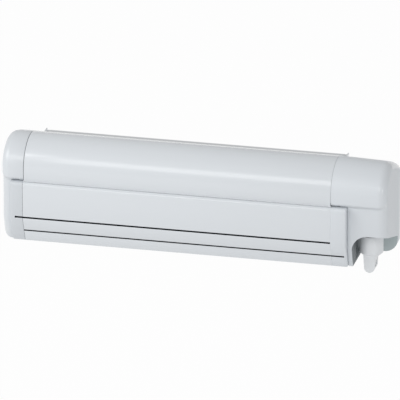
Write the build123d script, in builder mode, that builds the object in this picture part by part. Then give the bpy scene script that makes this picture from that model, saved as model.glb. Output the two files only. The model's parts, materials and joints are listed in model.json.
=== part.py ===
from build123d import *
import math
import os

# Cassette awning for a caravan or camper, in millimetres.
# X runs along the case, Y points back to the vehicle's wall, Z is up.
# The origin is on the wall, in the middle of the wall rail's bolt pattern.

# Driving dimensions of the whole
case_length = 372.0
case_height = 125.0
case_depth = 113.0
mount_share = 0.496
mount_height = mount_share * case_height
left_cap_width = 27.5
right_cap_width = 66.0

# Clearances and helpers
gap = 0.3
seat_gap = 0.4
overrun = 5.0
pin_play = 0.06
half = case_length / 2


def at(depth, height):
    """A point of the section: depth behind the lead bar's face, height above the underside."""
    return (depth - case_depth, height - mount_height)


def level(height):
    """The Z of a height above the underside."""
    return height - mount_height


def back_from(depth):
    """The Y of a depth behind the lead bar's face."""
    return depth - case_depth


def section_at(x):
    """A YZ sketch plane, at a place along the case."""
    return Plane.YZ.offset(x)


def save(built, name):
    """Label a finished piece and write its STEP file."""
    built.part.label = name
    export_step(built.part, f"parts/{name}.step")


def save_pair(built, name):
    """Write a left piece and its mirror image on the right."""
    save(built, f"left_{name}")
    with BuildPart() as other:
        add(mirror(built.part, about=Plane.YZ))
    save(other, f"right_{name}")


os.makedirs("parts", exist_ok=True)

# Wall rail
rail_inset = 1.8
rail_web = 3.0
rail_rib = 5.0
rail_rib_height = 4.0
rail_foot_share = 0.208
rail_head_share = 0.796
rail_foot = rail_foot_share * case_height
rail_head = rail_head_share * case_height
rail_lip = 1.7
rail_hook_reach = 10.5
rail_end_width = 4.5
rail_end_rise = 2.2
rail_end_tip = 1.4
rail_bolt_radius = 3.25
rail_bolt_inset = 36.0
rail_bolt_spacing_x = case_length - 2 * rail_bolt_inset
rail_bolt_spacing_z = 44.0
rail_depth = rail_web + rail_rib
rail_span = case_length - 2 * rail_inset - 2 * rail_end_width

# Case section: the outline's points, as shares of the back's depth and of the height
case_wall = 2.2
strip_depth = 4.0
bar_height_share = 0.616
bar_height = bar_height_share * case_height
lip_clearance = 1.2
lip_height = bar_height + lip_clearance
lip_thickness = 3.2
floor_front = 32.5
floor_rise = 3.5
strip_top_shares = (0.0366, 0.750)
brow_mid_shares = (0.0807, 0.862)
brow_top_shares = (0.1883, 0.948)
crown_shares = (0.3551, 0.997)
crown_back_shares = (0.5596, 0.968)
slope_mid_shares = (0.7856, 0.897)
slope_end_shares = (0.9955, 0.793)
back_depth = case_depth - rail_depth
seal_width = 2.4
seal_height = 3.0
seal_drop = 0.8

# Step and lean of the end caps' lower front
cap_wall = 2.8
cap_step_rise = 4.3
cap_step_drop = 3.2
cap_step_top = lip_height + cap_step_rise
cap_step_bottom = lip_height - cap_step_drop
cap_low_depth = 8.5
cap_lean_start = 26.0
cap_lean_depth = 17.0
cap_end_radius = 11.0
cap_hollow_step = 8.0
cap_end_rise = 0.93
right_hollow_share = 0.0864
right_hollow_step = right_hollow_share * right_cap_width
right_hollow_inset = 3.0
left_rear_radius = 11.0
right_rear_radius = 23.0
right_low_radius = 16.0
gasket_width = 0.7
gasket_recess = 0.35

# Lead bar
bar_depth = 28.0
bar_wall = 1.8
bar_web = 2.0
bar_nose_radius = 4.0
bar_lean_start = 31.0
bar_lean_depth = 13.0
bar_skirt = 3.0
bar_shelf = 24.0
bar_belt_height = 38.0
bar_groove_height = 33.5
bar_groove_width = 1.7
bar_low_groove_width = 1.3
bar_groove_deep = 1.6
bar_low_groove_height = 15.0
bar_strip_recess = 0.4
bar_strip_stop = 2.5
bar_strip_depth = bar_groove_deep - bar_strip_recess
left_bar_cap_width = 15.0
right_bar_cap_share = 0.285
right_bar_cap_width = right_bar_cap_share * right_cap_width
bar_cap_wall = 2.2
bar_cap_radius = 1.5
left_groove_run = 9.0
right_groove_run = 15.5
bar_notch_gap = 0.5
bar_cap_play = 0.3
notch_depth = 9.0
left_notch = (5.3, 7.3, 2.2)
right_notch = (6.9, 3.6, 1.6)

# Fabric edge
keder_height_share = 0.48
keder_height = keder_height_share * case_height
keder_radius = 2.6
keder_boss_radius = 4.6
keder_slot = 2.0
keder_reach = 3.2
keder_inset = 21.0
keder_length = case_length - 2 * keder_inset
fabric_thickness = 1.0

# Roller and its bearings
roller_depth_share = 0.57522
roller_depth = roller_depth_share * case_depth
roller_height_share = 0.656
roller_height = roller_height_share * case_height
roller_radius_share = 0.2
roller_radius = roller_radius_share * case_height
roller_wall = 1.6
roller_end_gap = 6.0
fabric_roll_share = 0.232
fabric_roll_radius = fabric_roll_share * case_height
plug_length = 14.0
plug_flange = 2.0
axle_radius = 6.0
axle_length = 20.0
bearing_radius = 13.0
bearing_gap = 2.0
shaft_radius = 7.0

# Winch gear
gear_module_share = 0.016
gear_module = gear_module_share * case_height
wheel_teeth = 18
wheel_face = 8.0
wheel_hub_radius = 11.0
wheel_hub_width = 13.0
worm_pitch_radius = 7.0
worm_root_radius = 4.4
worm_thread_turns = 3.0
worm_thread_base = 3.0
worm_thread_tip = 1.4
worm_thread_sink = 1.0
worm_thread_phase = 0.25
worm_shaft_radius = 4.4
tooth_root_width = 2.9
tooth_tip_width = 1.1
mesh_clearance = 0.5
winch_share = 0.629
winch_x = half + winch_share * right_cap_width
gear_wall = 3.0
gear_half_share = 0.23
gear_half_width = gear_half_share * right_cap_width
gear_cover = 2.0
gear_room = 4.0
gear_screw_turn = 40.0
gear_screw_head = 1.5

# Winch eye
bell_radius = 14.1
bell_top_share = 0.4
bell_top = bell_top_share * case_height
bell_bottom = 12.0
bell_neck = 5.6
bell_wall = 3.0
tongue_width = 14.6
tongue_tip_width = 12.6
tongue_depth = 19.0
tongue_bottom = -10.9
tongue_set_forward = 3.0
eye_hole_width = 8.5
eye_hole_height = 9.5
eye_hole_bottom = -6.4

# Cut-out round the winch eye
scoop_start_share = 0.3667
scoop_start = scoop_start_share * right_cap_width
scoop_window_low = 4.0
scoop_window_high = 30.0
scoop_corner_radius = 19.0
scoop_top_share = 0.3336
scoop_top = scoop_top_share * case_height
scoop_rear_depth = 73.0
scoop_rear_top = 21.0
bell_room = 1.6

# Folding arms, in plan
shoulder_inset = 28.0
shoulder_set_back = 27.6
wrist_stand_off = 14.83
elbow_inset = 15.58
shoulder_x = half - shoulder_inset
shoulder_depth = case_depth - shoulder_set_back
arm_along = shoulder_x - elbow_inset
arm_across = (shoulder_depth - bar_depth - wrist_stand_off) / 2
arm_length = math.hypot(arm_along, arm_across)
arm_bottom_share = 0.096
arm_height_share = 0.24
arm_bottom = arm_bottom_share * case_height
arm_height = arm_height_share * case_height
arm_width = 15.0
arm_wall = 1.5
arm_end_margin = 15.0
arm_inner_offset = 1.5
elbow_offset = 6.5
knuckle_radius = 11.0
neck_width = 12.0
elbow_neck_width = 11.0
elbow_neck_offset = 5.6
ear_thickness = 5.0
block_clearance = 12.2
neck_stop = 0.7
plug_reach = 16.0
plug_clearance = 0.12
arm_pin_radius = 4.0
pin_head_radius = 6.0
pin_head_height = 1.5

# Brackets of the arms
shoulder_plate = 4.0
shoulder_plate_half = 15.0
shoulder_plate_rise = 2.6
wrist_plate = 3.0

# Tension spring in the upper arm
spring_radius = 5.0
spring_wire = 1.4
spring_start_share = 0.30
spring_end_share = 0.72

# Support legs
leg_hinge_inset = 10.0
leg_height = 15.0
leg_rise = 12.0
leg_front = 16.7
leg_width = 10.8
leg_wall = 1.2
leg_length = 108.0
inner_gap = 0.25
inner_length = 96.0
leg_pin_radius = 2.5
leg_lug = 2.0
leg_lug_half = 6.0
foot_length = 5.0
foot_flange = 1.2

# Case outline, shared by the case and its end caps


def crown_line(start_height, rise=1):
    """Front strip, brow, crown and rear slope, from the front strip's foot to the underside.

    The rise is the share of its height above the strip's foot that the crown keeps.
    """

    def point(shares):
        height = start_height + (shares[1] * case_height - start_height) * rise
        return at(shares[0] * back_depth, height)

    strip = Line(at(strip_depth, start_height), point(strip_top_shares))
    brow = ThreePointArc(strip @ 1, point(brow_mid_shares), point(brow_top_shares))
    crown = ThreePointArc(brow @ 1, point(crown_shares), point(crown_back_shares))
    slope = ThreePointArc(crown @ 1, point(slope_mid_shares), point(slope_end_shares))
    back = Line(slope @ 1, (back_from(back_depth), (slope @ 1).Y))
    return Line(back @ 1, at(back_depth, 0))


with BuildSketch(Plane.YZ) as case_face:
    with BuildLine():
        crown_line(lip_height)
        Polyline(
            at(back_depth, 0),
            at(floor_front, 0),
            at(floor_front, lip_height),
            at(strip_depth, lip_height),
        )
    make_face()

cap_step_mid = at((cap_low_depth + strip_depth) / 2, (cap_step_bottom + cap_step_top) / 2)


def cap_line(rise):
    """Outline of an end cap: the crown, the underside, the lean, the low front and the step."""
    crown_line(cap_step_top, rise)
    Polyline(
        at(back_depth, 0),
        at(cap_lean_depth, 0),
        at(cap_low_depth, cap_lean_start),
        at(cap_low_depth, cap_step_bottom),
    )
    TangentArc(at(cap_low_depth, cap_step_bottom), cap_step_mid, tangent=(0, 1))
    TangentArc(at(strip_depth, cap_step_top), cap_step_mid, tangent=(0, -1))


with BuildSketch(Plane.YZ) as cap_face:
    with BuildLine():
        cap_line(1)
    make_face()

with BuildSketch(Plane.YZ) as cap_end_face:
    with BuildLine():
        cap_line(cap_end_rise)
    make_face()

with BuildSketch(Plane.YZ) as bar_face:
    with BuildLine():
        Polyline(
            at(bar_nose_radius, bar_height),
            at(bar_depth, bar_height),
            at(bar_depth, bar_shelf),
            at(bar_depth, 0),
            at(bar_lean_depth, 0),
            at(0, bar_lean_start),
            at(0, bar_height - bar_nose_radius),
        )
        TangentArc(
            at(0, bar_height - bar_nose_radius), at(bar_nose_radius, bar_height), tangent=(0, 1)
        )
    make_face()


bar_lean_angle = math.degrees(math.atan2(bar_lean_depth, bar_lean_start))
low_groove_depth = bar_lean_depth * (1 - bar_low_groove_height / bar_lean_start)
shelf_lean_depth = bar_lean_depth * (1 - (bar_shelf - bar_web) / bar_lean_start)
skirt_across = bar_skirt / math.cos(math.radians(bar_lean_angle))


def placed(face, x):
    """A shared outline moved to a place along the case."""
    return Pos(X=x) * face.sketch


def outer_edges(built, x):
    """The edges of a piece's end face at a place along the case, but not the one at the wall."""
    end = built.edges().filter_by_position(Axis.X, x - gap, x + gap)
    return end.filter_by_position(Axis.Y, -case_depth, back_from(back_depth) - gap)


# Wall rail and its end pieces

with BuildSketch(Plane.YZ) as rail_face:
    with BuildLine():
        Polyline(
            (0, level(rail_foot)),
            (-rail_depth, level(rail_foot)),
            (-rail_depth, level(rail_foot + rail_rib_height)),
            (-rail_web, level(rail_foot + rail_rib_height)),
            (-rail_web, level(rail_head - rail_rib_height)),
            (-rail_depth, level(rail_head - rail_rib_height)),
            (-rail_depth, level(rail_head)),
            (-rail_hook_reach, level(rail_head + rail_lip)),
            (-rail_hook_reach, level(rail_head + 2 * rail_lip)),
            (0, level(rail_head + 2 * rail_lip)),
            close=True,
        )
    make_face()

with BuildPart() as wall_rail:
    extrude(placed(rail_face, -rail_span / 2), amount=rail_span)
    with Locations(Plane.XZ.offset(rail_depth)):
        with GridLocations(rail_bolt_spacing_x, rail_bolt_spacing_z, 2, 2):
            Hole(radius=rail_bolt_radius)
save(wall_rail, "wall_rail")

with BuildPart() as rail_end:
    extrude(placed(rail_face, -rail_span / 2 - rail_end_width), amount=rail_end_width)
    with BuildSketch(section_at(-rail_span / 2 - rail_end_width)):
        with Locations((0, level(rail_head + 2 * rail_lip))):
            Rectangle(rail_hook_reach, rail_end_rise, align=(Align.MAX, Align.MIN))
    extrude(amount=rail_end_tip)
save_pair(rail_end, "rail_end")

# Case

with BuildPart() as case_profile:
    with BuildSketch(section_at(-half + gasket_width)):
        add(case_face.sketch_local)
        offset(case_face.sketch_local, amount=-case_wall, mode=Mode.SUBTRACT)
        with Locations(at(floor_front, lip_height)):
            Rectangle(
                2 * case_wall, lip_height - floor_rise, align=(Align.CENTER, Align.MAX), mode=Mode.SUBTRACT
            )
        with Locations(at(floor_front + case_wall, lip_height)):
            Rectangle(
                case_depth, case_wall, align=(Align.MAX, Align.MIN), mode=Mode.SUBTRACT
            )
        with Locations(at(strip_depth, lip_height)):
            Rectangle(lip_thickness, lip_thickness, align=(Align.MIN, Align.MIN))
    extrude(amount=case_length - 2 * gasket_width)
save(case_profile, "case_profile")

with BuildPart() as cap_gasket:
    with BuildSketch(section_at(-half)):
        offset(case_face.sketch_local, amount=-gasket_recess)
        offset(case_face.sketch_local, amount=-case_wall, mode=Mode.SUBTRACT)
        with Locations(at(floor_front, lip_height)):
            Rectangle(
                2 * case_wall, lip_height - floor_rise, align=(Align.CENTER, Align.MAX), mode=Mode.SUBTRACT
            )
        with Locations(at(floor_front + case_wall, lip_height - gasket_recess)):
            Rectangle(
                case_depth, 2 * case_wall, align=(Align.MAX, Align.MIN), mode=Mode.SUBTRACT
            )
    extrude(amount=gasket_width)
save_pair(cap_gasket, "cap_gasket")

# End caps of the case

gear_left = winch_x - gear_half_width
gear_right = winch_x + gear_half_width
wheel_pitch_radius = gear_module * wheel_teeth / 2
wheel_tip_radius = wheel_pitch_radius + gear_module
wheel_root_radius = wheel_pitch_radius - gear_module - mesh_clearance
worm_tip_radius = worm_pitch_radius + gear_module
worm_depth = roller_depth - wheel_pitch_radius - worm_pitch_radius
thread_pitch = math.pi * gear_module
worm_axis = Plane(origin=(winch_x, back_from(worm_depth), level(0)))
pocket_depth = bar_depth + seat_gap
pocket_height = bar_height + bar_notch_gap
left_end = -half - left_cap_width
right_end = half + right_cap_width
low_cavity_front = pocket_depth + cap_wall


def plan_line(seam, end, radius, inset=0):
    """Plan of an end cap, open to the front, with its rear outer corner round."""
    side = 1 if end > seam else -1
    rear = back_from(back_depth) - inset
    far, near, round_by = end - side * inset, seam - side * inset, radius - inset
    turn = round_by * (1 - math.sqrt(1 / 2))
    front = -case_depth - overrun
    corner = Polyline((near, rear), (near, front), (far, front), (far, rear - round_by))
    arc = ThreePointArc(corner @ 1, (far - side * turn, rear - turn), (far - side * round_by, rear))
    Line(arc @ 1, (near, rear))


plan_floor = Plane.XY.offset(level(-overrun))
plan_height = case_height + 2 * overrun

with BuildPart() as left_hollow:
    with BuildSketch(section_at(-half)):
        offset(cap_face.sketch_local, amount=-cap_wall)
        with Locations(at(low_cavity_front, pocket_height + cap_wall)):
            Rectangle(case_depth, case_height, align=(Align.MAX, Align.MAX), mode=Mode.SUBTRACT)
    extrude(amount=cap_hollow_step - left_cap_width)
    with BuildSketch(plan_floor):
        with BuildLine():
            plan_line(-half, left_end, left_rear_radius, cap_wall)
        make_face()
    extrude(amount=plan_height, mode=Mode.INTERSECT)

with BuildPart() as left_end_cap:
    extrude(placed(cap_face, left_end), amount=left_cap_width)
    fillet(outer_edges(left_end_cap, left_end), radius=cap_end_radius)
    with BuildSketch(plan_floor):
        with BuildLine():
            plan_line(-half, left_end, left_rear_radius)
        make_face()
    extrude(amount=plan_height, mode=Mode.INTERSECT)
    add(left_hollow.part, mode=Mode.SUBTRACT)
    with BuildSketch(section_at(-half)):
        with Locations(at(pocket_depth, pocket_height)):
            Rectangle(case_depth, case_height, align=(Align.MAX, Align.MAX))
    extrude(amount=-(left_bar_cap_width + bar_cap_play), mode=Mode.SUBTRACT)
    notch_start, notch_run, notch_rise = left_notch
    with BuildSketch(section_at(-half - notch_start)):
        with Locations(at(notch_depth, pocket_height + notch_rise)):
            Rectangle(notch_depth, notch_rise + overrun, align=(Align.MAX, Align.MAX))
    extrude(amount=-notch_run, mode=Mode.SUBTRACT)
save(left_end_cap, "left_end_cap")

with BuildSketch(Plane.YZ) as scoop_face:
    with BuildLine():
        Polyline(
            at(-overrun, -overrun),
            at(-overrun, scoop_top),
            at(cap_low_depth, scoop_top),
        )
        Spline(
            at(cap_low_depth, scoop_top),
            at((cap_low_depth + scoop_rear_depth) / 2, (scoop_top + scoop_rear_top) / 2),
            at(scoop_rear_depth, scoop_rear_top),
        )
        Polyline(
            at(scoop_rear_depth, scoop_rear_top),
            at(scoop_rear_depth, -overrun),
            at(-overrun, -overrun),
        )
    make_face()

with BuildSketch(Plane.XZ) as scoop_front:
    with BuildLine():
        scoop_x = half + scoop_start
        corner_x = scoop_x + scoop_corner_radius
        Polyline(
            (right_end + overrun, level(-overrun)),
            (scoop_x, level(-overrun)),
            (scoop_x, level(scoop_top - scoop_corner_radius)),
        )
        RadiusArc(
            (scoop_x, level(scoop_top - scoop_corner_radius)),
            (corner_x, level(scoop_top)),
            scoop_corner_radius,
        )
        Polyline(
            (corner_x, level(scoop_top)),
            (right_end + overrun, level(scoop_top)),
            (right_end + overrun, level(-overrun)),
        )
    make_face()

with BuildPart() as scoop:
    extrude(placed(scoop_face, half + scoop_start), amount=right_cap_width)
    extrude(scoop_front.sketch, amount=case_depth + overrun, mode=Mode.INTERSECT)

pocket_reach = right_bar_cap_width + bar_cap_play + cap_wall
with BuildPart() as right_hollow:
    for start, stop, inset, front_cut in (
        (0, pocket_reach, cap_wall, low_cavity_front),
        (pocket_reach, right_cap_width - right_hollow_step, cap_wall + right_hollow_inset, 0),
    ):
        with BuildSketch(section_at(half + start)):
            offset(cap_face.sketch_local, amount=-inset)
            for corner in (
                at(scoop_rear_depth + cap_wall, scoop_top + cap_wall),
                at(front_cut, pocket_height + cap_wall),
            ):
                with Locations(corner):
                    Rectangle(case_depth, case_height, align=(Align.MAX, Align.MAX), mode=Mode.SUBTRACT)
        extrude(amount=stop - start)
    with BuildSketch(plan_floor):
        with BuildLine():
            plan_line(half, right_end, right_rear_radius, cap_wall)
        make_face()
    extrude(amount=plan_height, mode=Mode.INTERSECT)

with BuildPart() as right_end_cap:
    loft([placed(cap_face, half).face(), placed(cap_end_face, right_end).face()], ruled=True)
    fillet(outer_edges(right_end_cap, right_end), radius=cap_end_radius)
    with BuildSketch(plan_floor):
        with BuildLine():
            plan_line(half, right_end, right_rear_radius)
        make_face()
    extrude(amount=plan_height, mode=Mode.INTERSECT)
    with BuildSketch(Plane.XZ):
        with BuildLine():
            turn = right_low_radius * (1 - math.sqrt(1 / 2))
            foot_end = (right_end - right_low_radius, level(0))
            foot = Polyline((half, level(plan_height)), (half, level(0)), foot_end)
            corner_top = (right_end, level(right_low_radius))
            ThreePointArc(foot @ 1, (right_end - turn, level(turn)), corner_top)
            Polyline(corner_top, (right_end, level(plan_height)), (half, level(plan_height)))
        make_face()
    extrude(amount=case_depth + overrun, mode=Mode.INTERSECT)
    add(right_hollow.part, mode=Mode.SUBTRACT)
    with BuildSketch(section_at(half)):
        with Locations(at(pocket_depth, pocket_height)):
            Rectangle(case_depth, case_height, align=(Align.MAX, Align.MAX))
    extrude(amount=right_bar_cap_width + bar_cap_play, mode=Mode.SUBTRACT)
    notch_start, notch_run, notch_rise = right_notch
    with BuildSketch(section_at(half + notch_start)):
        with Locations(at(notch_depth, pocket_height + notch_rise)):
            Rectangle(notch_depth, notch_rise + overrun, align=(Align.MAX, Align.MAX))
    extrude(amount=notch_run, mode=Mode.SUBTRACT)
    add(scoop.part, mode=Mode.SUBTRACT)
    with BuildSketch(section_at(half + right_bar_cap_width)):
        with Locations(at(low_cavity_front + cap_wall, scoop_window_low)):
            Rectangle(
                scoop_rear_depth - low_cavity_front - 2 * cap_wall,
                scoop_window_high - scoop_window_low,
                align=(Align.MIN, Align.MIN),
            )
    extrude(amount=scoop_start - right_bar_cap_width + overrun, mode=Mode.SUBTRACT)
    with BuildSketch(worm_axis.offset(-overrun)):
        Circle(bell_radius + bell_room)
    extrude(amount=bell_top + bell_room + overrun, mode=Mode.SUBTRACT)
save(right_end_cap, "right_end_cap")

# Lead bar

with BuildPart() as lead_bar_profile:
    with BuildSketch(section_at(-half)):
        add(bar_face.sketch_local)
        with Locations(at(bar_wall, bar_height - bar_wall)):
            Rectangle(
                bar_depth - 2 * bar_wall,
                bar_height - bar_wall - bar_belt_height,
                align=(Align.MIN, Align.MAX),
                mode=Mode.SUBTRACT,
            )
        with BuildLine():
            Polyline(
                at(bar_depth + overrun, bar_shelf - bar_web),
                at(shelf_lean_depth + skirt_across, bar_shelf - bar_web),
                at(bar_lean_depth + skirt_across, 0),
                at(bar_lean_depth + skirt_across, -overrun),
                at(bar_depth + overrun, -overrun),
                close=True,
            )
        make_face(mode=Mode.SUBTRACT)
        with BuildLine():
            Polyline(
                at(bar_depth - bar_wall, bar_shelf + bar_web),
                at(bar_depth - bar_wall, bar_belt_height - 2 * bar_web),
                at(bar_wall + bar_skirt, bar_belt_height - 2 * bar_web),
                at(bar_lean_depth - bar_skirt, bar_shelf + bar_web),
                close=True,
            )
        make_face(mode=Mode.SUBTRACT)
        with Locations(at(0, bar_groove_height)):
            Rectangle(2 * bar_groove_deep, bar_groove_width, mode=Mode.SUBTRACT)
        with Locations(at(low_groove_depth, bar_low_groove_height)):
            low_turn = -bar_lean_angle
            Rectangle(2 * bar_groove_deep, bar_low_groove_width, rotation=low_turn, mode=Mode.SUBTRACT)
    extrude(amount=case_length)
    with BuildSketch(section_at(-keder_length / 2)):
        with Locations(at(bar_depth + keder_reach, keder_height)):
            Circle(keder_boss_radius)
        with Locations(at(bar_depth, keder_height)):
            Rectangle(keder_reach, 2 * keder_boss_radius, align=(Align.MIN, Align.CENTER))
    extrude(amount=keder_length)
    with BuildSketch(section_at(-keder_length / 2)):
        with Locations(at(bar_depth + keder_reach, keder_height)):
            Circle(keder_radius + gap)
            Rectangle(keder_length, keder_slot, align=(Align.MIN, Align.CENTER))
    extrude(amount=keder_length, mode=Mode.SUBTRACT)
save(lead_bar_profile, "lead_bar_profile")

with BuildPart() as fabric_bead:
    with BuildSketch(section_at(-keder_length / 2)):
        with Locations(at(bar_depth + keder_reach, keder_height)):
            Circle(keder_radius)
    extrude(amount=keder_length)
save(fabric_bead, "fabric_bead")

with BuildPart() as upper_groove_strip:
    with BuildSketch(section_at(-half - left_groove_run)):
        with Locations(at(bar_strip_recess, bar_groove_height)):
            Rectangle(bar_strip_depth, bar_groove_width, align=(Align.MIN, Align.CENTER))
    extrude(amount=case_length + left_groove_run - bar_strip_stop)
save(upper_groove_strip, "upper_groove_strip")

with BuildPart() as lower_groove_strip:
    with BuildSketch(section_at(-half)):
        with Locations(at(low_groove_depth, bar_low_groove_height)):
            with Locations(Rot(Z=-bar_lean_angle) * Pos(X=bar_strip_recess)):
                Rectangle(bar_strip_depth, bar_low_groove_width, align=(Align.MIN, Align.CENTER))
    extrude(amount=case_length + right_groove_run)
save(lower_groove_strip, "lower_groove_strip")

for side, width in ((-1, left_bar_cap_width), (1, right_bar_cap_width)):
    with BuildPart() as bar_cap:
        extrude(placed(bar_face, side * half), amount=side * width)
        end = side * (half + width)
        fillet(bar_cap.edges().filter_by_position(Axis.X, end - gap, end + gap), radius=bar_cap_radius)
        with BuildSketch(section_at(side * half)):
            offset(bar_face.sketch_local, amount=-bar_cap_wall)
        extrude(amount=side * (width - bar_cap_wall - bar_cap_radius), mode=Mode.SUBTRACT)
        with BuildSketch(section_at(side * half)):
            if side < 0:
                with Locations(at(0, bar_groove_height)):
                    Rectangle(2 * bar_groove_deep, bar_groove_width)
            else:
                with Locations(at(low_groove_depth, bar_low_groove_height)):
                    Rectangle(2 * bar_groove_deep, bar_low_groove_width, rotation=-bar_lean_angle)
        extrude(amount=side * (left_groove_run if side < 0 else right_groove_run), mode=Mode.SUBTRACT)
    save(bar_cap, "left_bar_cap" if side < 0 else "right_bar_cap")

# Roller, fabric and the left bearing

roller_end = half - roller_end_gap
roller_axis = Plane(
    origin=(0, back_from(roller_depth), level(roller_height)), x_dir=(0, 1, 0), z_dir=(1, 0, 0)
)
bearing_back = left_end + cap_hollow_step
axle_tip = -roller_end - axle_length

with BuildPart() as roller_tube:
    with BuildSketch(roller_axis.offset(-roller_end)):
        Circle(roller_radius)
        Circle(roller_radius - roller_wall, mode=Mode.SUBTRACT)
    extrude(amount=2 * roller_end)
save(roller_tube, "roller_tube")

with BuildPart() as fabric_roll:
    with BuildSketch(roller_axis.offset(-keder_length / 2)):
        Circle(fabric_roll_radius)
        Circle(roller_radius, mode=Mode.SUBTRACT)
    extrude(amount=keder_length)
save(fabric_roll, "fabric_roll")

with BuildPart() as left_roller_plug:
    with BuildSketch(roller_axis.offset(-roller_end)):
        Circle(roller_radius - roller_wall)
    extrude(amount=plug_length)
    with BuildSketch(roller_axis.offset(-roller_end)):
        Circle(roller_radius)
    extrude(amount=-plug_flange)
    with BuildSketch(roller_axis.offset(-roller_end)):
        Circle(axle_radius)
    extrude(amount=-axle_length)
save(left_roller_plug, "left_roller_plug")

with BuildPart() as left_roller_bearing:
    with BuildSketch(roller_axis.offset(bearing_back)):
        Circle(bearing_radius)
    extrude(amount=-roller_end - plug_flange - bearing_gap - bearing_back)
    with BuildSketch(roller_axis.offset(axle_tip - gap)):
        Circle(axle_radius + pin_play)
    extrude(amount=axle_length, mode=Mode.SUBTRACT)
save(left_roller_bearing, "left_roller_bearing")

# Winch gear in the right end cap

with BuildPart() as right_roller_plug:
    with BuildSketch(roller_axis.offset(roller_end)):
        Circle(roller_radius - roller_wall)
    extrude(amount=-plug_length)
    with BuildSketch(roller_axis.offset(roller_end)):
        Circle(roller_radius)
    extrude(amount=plug_flange)
    with BuildSketch(roller_axis.offset(roller_end)):
        Circle(shaft_radius)
    extrude(amount=gear_right + gear_cover / 2 - roller_end)
save(right_roller_plug, "right_roller_plug")

with BuildPart() as worm_wheel:
    with BuildSketch(roller_axis.offset(winch_x - wheel_face / 2)):
        Circle(wheel_root_radius)
        with PolarLocations(0, wheel_teeth, start_angle=360 / wheel_teeth / 2):
            Polygon(
                (wheel_root_radius - gear_module, -tooth_root_width / 2),
                (wheel_tip_radius, -tooth_tip_width / 2),
                (wheel_tip_radius, tooth_tip_width / 2),
                (wheel_root_radius - gear_module, tooth_root_width / 2),
                align=None,
            )
    extrude(amount=wheel_face)
    with BuildSketch(roller_axis.offset(winch_x - wheel_hub_width / 2)):
        Circle(wheel_hub_radius)
    extrude(amount=wheel_hub_width)
    with BuildSketch(roller_axis.offset(winch_x - wheel_hub_width / 2)):
        Circle(shaft_radius)
    extrude(amount=wheel_hub_width, mode=Mode.SUBTRACT)
save(worm_wheel, "worm_wheel")

gear_room_radius = wheel_tip_radius + gear_room
worm_front = worm_depth - worm_tip_radius - gear_room / 2


def gear_outline(grow):
    """Housing outline in section: round about the wheel, square about the worm."""
    Circle(gear_room_radius + grow)
    with Locations((back_from(worm_front - grow) - roller_axis.origin.Y, 0)):
        Rectangle(
            roller_depth - worm_front + grow,
            2 * (gear_room_radius + grow),
            align=(Align.MIN, Align.CENTER),
        )


with BuildPart() as gearbox_housing:
    with BuildSketch(roller_axis.offset(gear_left)):
        gear_outline(gear_wall)
    extrude(amount=gear_right - gear_left)
    with BuildSketch(roller_axis.offset(gear_left + gear_wall)):
        gear_outline(0)
    extrude(amount=gear_right - gear_left, mode=Mode.SUBTRACT)
    with BuildSketch(roller_axis.offset(gear_left)):
        Circle(shaft_radius + pin_play)
    extrude(amount=gear_wall, mode=Mode.SUBTRACT)
    with BuildSketch(worm_axis):
        Circle(worm_shaft_radius + pin_play)
    extrude(amount=roller_height, mode=Mode.SUBTRACT)
save(gearbox_housing, "gearbox_housing")

with BuildPart() as gearbox_cover:
    with BuildSketch(roller_axis.offset(gear_right)):
        gear_outline(gear_wall)
    extrude(amount=gear_cover)
    with BuildSketch(roller_axis.offset(gear_right)):
        Circle(shaft_radius + pin_play)
    extrude(amount=gear_cover, mode=Mode.SUBTRACT)
save(gearbox_cover, "gearbox_cover")

with BuildPart() as gearbox_screws:
    for turn in (gear_screw_turn, -gear_screw_turn, 180 - gear_screw_turn / 2, 180 + gear_screw_turn / 2):
        spot = Rot(Z=turn) * Pos(X=gear_room_radius + gear_wall / 2)
        with BuildSketch(roller_axis.offset(gear_right + gear_cover)):
            with Locations(spot):
                Circle(gear_screw_head)
        extrude(amount=gear_screw_head / 2)
save(gearbox_screws, "gearbox_screws")

worm_length = worm_thread_turns * thread_pitch
worm_start = roller_height - thread_pitch * (worm_thread_turns // 2 + worm_thread_phase)
worm_head = roller_height + gear_room_radius - gear_room / 2
with BuildPart() as worm_shaft:
    with BuildSketch(worm_axis.offset(bell_top - bell_wall)):
        Circle(worm_shaft_radius)
    extrude(amount=worm_head - bell_top + bell_wall)
    with BuildLine(worm_axis.offset(worm_start)):
        thread_path = Helix(pitch=thread_pitch, height=worm_length, radius=worm_root_radius)
    with BuildSketch(Plane(thread_path @ 0, x_dir=(1, 0, 0), z_dir=thread_path % 0)):
        Polygon(
            (-worm_thread_sink, -worm_thread_base / 2),
            (worm_tip_radius - worm_root_radius, -worm_thread_tip / 2),
            (worm_tip_radius - worm_root_radius, worm_thread_tip / 2),
            (-worm_thread_sink, worm_thread_base / 2),
            align=None,
        )
    sweep(path=thread_path, is_frenet=True)
save(worm_shaft, "worm_shaft")

# Winch eye: a bell over the worm shaft's foot, and a tongue with the crank hook's hole

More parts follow.
